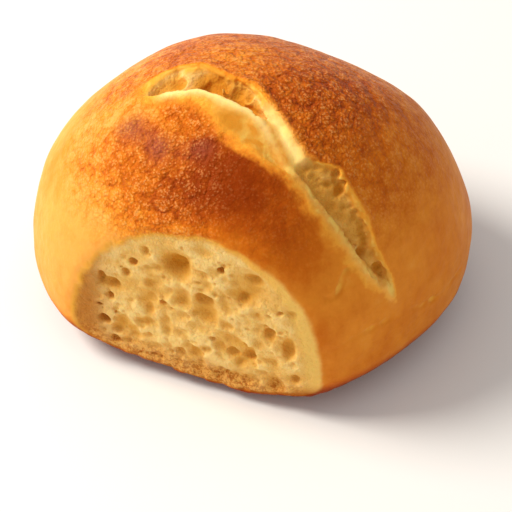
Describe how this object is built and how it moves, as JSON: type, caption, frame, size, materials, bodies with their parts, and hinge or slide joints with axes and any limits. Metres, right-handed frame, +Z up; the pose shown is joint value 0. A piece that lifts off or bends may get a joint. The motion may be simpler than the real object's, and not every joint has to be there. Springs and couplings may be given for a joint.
{
  "type": "bread roll",
  "caption": "Rustic round wheat bread roll with a burst score across its golden brown crown and a slice cut off one side, showing the open crumb.",
  "frame": {"origin": "on the surface the roll rests on, under the middle of its bounding box", "axes": "+Z up, -Y out of the cut face, +X to the right of someone who looks at the cut face, along the roll's longest side"},
  "size_m": [0.1214, 0.0986, 0.0822],
  "materials": {
    "crust": "baked, satin golden brown crust with pale matte crumb where it is cut or torn"
  },
  "bodies": {
    "root": {"bread_roll": "crust"}
  },
  "joints": []
}
